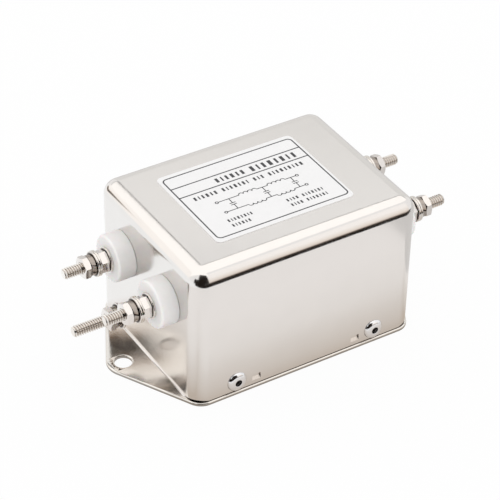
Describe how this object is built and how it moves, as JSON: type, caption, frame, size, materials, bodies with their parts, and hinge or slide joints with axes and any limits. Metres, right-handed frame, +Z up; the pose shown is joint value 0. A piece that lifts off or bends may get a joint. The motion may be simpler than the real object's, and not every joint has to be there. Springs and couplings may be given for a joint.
{
  "type": "power-line filter",
  "caption": "Metal-cased single-phase power-line filter with threaded stud terminals on white bushings, an earth stud and a mounting plate with an ear at each end.",
  "frame": {"origin": "middle of the mounting face, under the middle of the cover", "axes": "+Z up from the mounting face, +X along the case away from the earth stud's end, Y across the case"},
  "size_m": [0.1363, 0.0666, 0.0542],
  "materials": {
    "nickel_case": "satin",
    "bright_hardware": "polished",
    "rivet_aluminium": "satin",
    "mandrel_steel": "satin",
    "white_nylon": "satin",
    "label_film": "satin",
    "fibre_sheet": "matte",
    "ferrite": "satin",
    "copper_wire": "gloss",
    "earth_insulation": "satin",
    "board_laminate": "satin",
    "film_capacitor": "satin",
    "disc_capacitor": "gloss",
    "resistor_body": "satin"
  },
  "bodies": {
    "root": {"cover": "nickel_case", "mounting_plate": "nickel_case", "base_pan": "nickel_case", "seat_washers": "bright_hardware", "jam_nuts": "bright_hardware", "clamp_washers": "bright_hardware", "spring_washers": "bright_hardware", "terminal_nuts": "bright_hardware", "earth_screw": "bright_hardware", "earth_lug": "bright_hardware", "terminal_screw_1": "bright_hardware", "terminal_screw_2": "bright_hardware", "terminal_screw_3": "bright_hardware", "terminal_screw_4": "bright_hardware", "solder_lug_1": "bright_hardware", "solder_lug_2": "bright_hardware", "solder_lug_3": "bright_hardware", "solder_lug_4": "bright_hardware", "cover_rivets": "rivet_aluminium", "rivet_mandrels": "mandrel_steel", "board_posts": "white_nylon", "outer_bushing_1": "white_nylon", "outer_bushing_2": "white_nylon", "outer_bushing_3": "white_nylon", "outer_bushing_4": "white_nylon", "inner_bushing_1": "white_nylon", "inner_bushing_2": "white_nylon", "inner_bushing_3": "white_nylon", "inner_bushing_4": "white_nylon", "top_label": "label_film", "insulating_sheet": "fibre_sheet", "choke_core_1": "ferrite", "choke_core_2": "ferrite", "choke_1_winding_a": "copper_wire", "choke_1_winding_b": "copper_wire", "choke_2_winding_a": "copper_wire", "choke_2_winding_b": "copper_wire", "line_wire_1": "copper_wire", "line_wire_2": "copper_wire", "line_wire_3": "copper_wire", "line_wire_4": "copper_wire", "earth_wire": "earth_insulation", "component_board": "board_laminate", "x_capacitor_1": "film_capacitor", "x_capacitor_2": "film_capacitor", "x_capacitor_3": "film_capacitor", "y_capacitor_1": "disc_capacitor", "y_capacitor_2": "disc_capacitor", "bleed_resistor": "resistor_body"}
  },
  "joints": []
}
